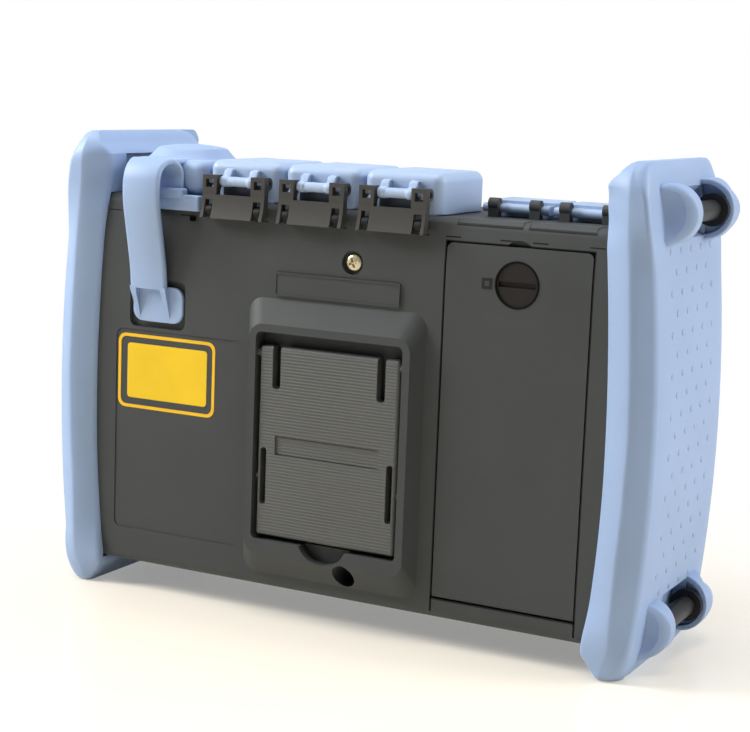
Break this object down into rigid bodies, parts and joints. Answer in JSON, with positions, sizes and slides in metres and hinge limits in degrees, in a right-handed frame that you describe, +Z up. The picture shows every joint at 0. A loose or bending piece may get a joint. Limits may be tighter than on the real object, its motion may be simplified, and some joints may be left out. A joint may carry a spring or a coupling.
{
  "type": "optical time domain reflectometer",
  "caption": "Handheld fibre tester: dark two-part case between soft bowed bumpers, hinged port covers, tilt stand, battery cover with coin lock, display and keys in front.",
  "frame": {"origin": "on the floor plane under the middle of the whole object's box", "axes": "+Z up, -Y the display side, +Y the rear with the stand and battery cover, X along the width between the two bumpers"},
  "size_m": [0.2228, 0.0763, 0.157],
  "materials": {
    "case_plastic": "matte moulded",
    "hinge_plastic": "satin moulded",
    "blue_elastomer": "matte soft touch",
    "blue_plastic": "satin moulded",
    "key_rubber": "matte",
    "pale_key": "satin",
    "display_glass": "gloss",
    "display_face": "gloss",
    "circuit_board": "satin lacquer",
    "sheet_metal": "brushed",
    "adapter_metal": "nickelled",
    "battery_wrap": "matte",
    "screw_metal": "zinc plated",
    "black_steel": "satin black",
    "lock_plastic": "satin",
    "light_lens": "gloss"
  },
  "bodies": {
    "case": {"rear_case": "case_plastic", "front_case": "case_plastic", "display_window": "display_glass", "display_panel": "display_face", "key_board": "circuit_board", "knob_encoder": "sheet_metal", "status_lights": "light_lens", "main_board": "circuit_board", "optical_unit": "sheet_metal", "battery_pack": "battery_wrap", "port_adapter_a": "adapter_metal", "port_adapter_b": "adapter_metal", "port_adapter_c": "adapter_metal", "jack_a": "sheet_metal", "jack_b": "sheet_metal", "case_screws": "screw_metal", "deep_screw": "black_steel", "cap_strap": "blue_elastomer", "bumper_left": "blue_elastomer", "bumper_right": "blue_elastomer", "strap_bar_upper": "black_steel", "strap_bar_lower": "black_steel"},
    "soft_key_1": {"soft_key_1": "key_rubber"},
    "soft_key_2": {"soft_key_2": "key_rubber"},
    "soft_key_3": {"soft_key_3": "key_rubber"},
    "soft_key_4": {"soft_key_4": "key_rubber"},
    "soft_key_5": {"soft_key_5": "key_rubber"},
    "menu_key_1": {"menu_key_1": "key_rubber"},
    "menu_key_2": {"menu_key_2": "key_rubber"},
    "menu_key_3": {"menu_key_3": "key_rubber"},
    "menu_key_4": {"menu_key_4": "key_rubber"},
    "average_key": {"average_key": "pale_key"},
    "real_time_key": {"real_time_key": "pale_key"},
    "escape_key": {"escape_key": "pale_key"},
    "scale_key": {"scale_key": "pale_key"},
    "power_key": {"power_key": "key_rubber"},
    "arrow_pad": {"arrow_pad": "key_rubber"},
    "enter_key": {"enter_key": "pale_key"},
    "rotary_knob": {"rotary_knob": "key_rubber"},
    "tilt_stand": {"tilt_stand": "case_plastic"},
    "battery_cover": {"battery_cover": "case_plastic"},
    "coin_lock": {"coin_lock": "lock_plastic"},
    "hinge_link_a": {"hinge_link_a": "hinge_plastic"},
    "port_cover_a": {"port_cover_a": "blue_plastic"},
    "hinge_link_b": {"hinge_link_b": "hinge_plastic"},
    "port_cover_b": {"port_cover_b": "blue_plastic"},
    "hinge_link_c": {"hinge_link_c": "hinge_plastic"},
    "port_cover_c": {"port_cover_c": "blue_plastic"},
    "jack_cover_a": {"jack_cover_a": "blue_plastic"},
    "jack_cover_b": {"jack_cover_b": "blue_plastic"},
    "port_cap": {"port_cap": "blue_elastomer"}
  },
  "joints": [
    {"name": "soft_key_1_press", "type": "slide", "parent": "case", "child": "soft_key_1", "axis": [0, 1, 0], "range_m": [0, 0.0006], "stiffness_N_per_m": 2500},
    {"name": "soft_key_2_press", "type": "slide", "parent": "case", "child": "soft_key_2", "axis": [0, 1, 0], "range_m": [0, 0.0006], "stiffness_N_per_m": 2500},
    {"name": "soft_key_3_press", "type": "slide", "parent": "case", "child": "soft_key_3", "axis": [0, 1, 0], "range_m": [0, 0.0006], "stiffness_N_per_m": 2500},
    {"name": "soft_key_4_press", "type": "slide", "parent": "case", "child": "soft_key_4", "axis": [0, 1, 0], "range_m": [0, 0.0006], "stiffness_N_per_m": 2500},
    {"name": "soft_key_5_press", "type": "slide", "parent": "case", "child": "soft_key_5", "axis": [0, 1, 0], "range_m": [0, 0.0006], "stiffness_N_per_m": 2500},
    {"name": "menu_key_1_press", "type": "slide", "parent": "case", "child": "menu_key_1", "axis": [0, 1, 0], "range_m": [0, 0.0006], "stiffness_N_per_m": 2500},
    {"name": "menu_key_2_press", "type": "slide", "parent": "case", "child": "menu_key_2", "axis": [0, 1, 0], "range_m": [0, 0.0006], "stiffness_N_per_m": 2500},
    {"name": "menu_key_3_press", "type": "slide", "parent": "case", "child": "menu_key_3", "axis": [0, 1, 0], "range_m": [0, 0.0006], "stiffness_N_per_m": 2500},
    {"name": "menu_key_4_press", "type": "slide", "parent": "case", "child": "menu_key_4", "axis": [0, 1, 0], "range_m": [0, 0.0006], "stiffness_N_per_m": 2500},
    {"name": "average_key_press", "type": "slide", "parent": "case", "child": "average_key", "axis": [0, 1, 0], "range_m": [0, 0.0006], "stiffness_N_per_m": 2500},
    {"name": "real_time_key_press", "type": "slide", "parent": "case", "child": "real_time_key", "axis": [0, 1, 0], "range_m": [0, 0.0006], "stiffness_N_per_m": 2500},
    {"name": "escape_key_press", "type": "slide", "parent": "case", "child": "escape_key", "axis": [0, 1, 0], "range_m": [0, 0.0006], "stiffness_N_per_m": 2500},
    {"name": "scale_key_press", "type": "slide", "parent": "case", "child": "scale_key", "axis": [0, 1, 0], "range_m": [0, 0.0006], "stiffness_N_per_m": 2500},
    {"name": "power_key_press", "type": "slide", "parent": "case", "child": "power_key", "axis": [0, 1, 0], "range_m": [0, 0.0006], "stiffness_N_per_m": 2500},
    {"name": "arrow_pad_press", "type": "slide", "parent": "case", "child": "arrow_pad", "axis": [0, 1, 0], "range_m": [0, 0.0006], "stiffness_N_per_m": 2500},
    {"name": "enter_key_press", "type": "slide", "parent": "case", "child": "enter_key", "axis": [0, 1, 0], "range_m": [0, 0.0006], "stiffness_N_per_m": 2500},
    {"name": "knob_turn", "type": "hinge", "parent": "case", "child": "rotary_knob", "pos_m": [0.0741, -0.033, 0.1115], "axis": [0, -1, 0], "continuous": true},
    {"name": "stand_hinge", "type": "hinge", "parent": "case", "child": "tilt_stand", "pos_m": [0.0026, 0.0333, 0.0886], "axis": [1, 0, 0], "range_deg": [0, 55]},
    {"name": "battery_cover_hinge", "type": "hinge", "parent": "case", "child": "battery_cover", "pos_m": [-0.05935, 0.0296, 0.0179], "axis": [-1, 0, 0], "range_deg": [0, 75]},
    {"name": "coin_lock_turn", "type": "hinge", "parent": "battery_cover", "child": "coin_lock", "pos_m": [-0.0593, 0.031, 0.1177], "axis": [0, 1, 0], "range_deg": [0, 90]},
    {"name": "link_a_hinge", "type": "hinge", "parent": "case", "child": "hinge_link_a", "pos_m": [0.0408, 0.0325, 0.1334], "axis": [-1, 0, 0], "range_deg": [0, 80]},
    {"name": "port_cover_a_hinge", "type": "hinge", "parent": "hinge_link_a", "child": "port_cover_a", "pos_m": [0.0408, 0.0306, 0.143], "axis": [-1, 0, 0], "range_deg": [0, 95]},
    {"name": "link_b_hinge", "type": "hinge", "parent": "case", "child": "hinge_link_b", "pos_m": [0.0118, 0.0325, 0.1334], "axis": [-1, 0, 0], "range_deg": [0, 80]},
    {"name": "port_cover_b_hinge", "type": "hinge", "parent": "hinge_link_b", "child": "port_cover_b", "pos_m": [0.0118, 0.0306, 0.143], "axis": [-1, 0, 0], "range_deg": [0, 95]},
    {"name": "link_c_hinge", "type": "hinge", "parent": "case", "child": "hinge_link_c", "pos_m": [-0.0172, 0.0325, 0.1334], "axis": [-1, 0, 0], "range_deg": [0, 80]},
    {"name": "port_cover_c_hinge", "type": "hinge", "parent": "hinge_link_c", "child": "port_cover_c", "pos_m": [-0.0172, 0.0306, 0.143], "axis": [-1, 0, 0], "range_deg": [0, 95]},
    {"name": "jack_cover_a_hinge", "type": "hinge", "parent": "case", "child": "jack_cover_a", "pos_m": [-0.0495, 0.0106, 0.1393], "axis": [-1, 0, 0], "range_deg": [0, 85]},
    {"name": "jack_cover_b_hinge", "type": "hinge", "parent": "case", "child": "jack_cover_b", "pos_m": [-0.0735, 0.0106, 0.1393], "axis": [-1, 0, 0], "range_deg": [0, 85]},
    {"name": "port_cap_lift", "type": "slide", "parent": "case", "child": "port_cap", "axis": [0, 0, 1], "range_m": [0, 0.012], "deforming": ["cap_strap"]}
  ]
}
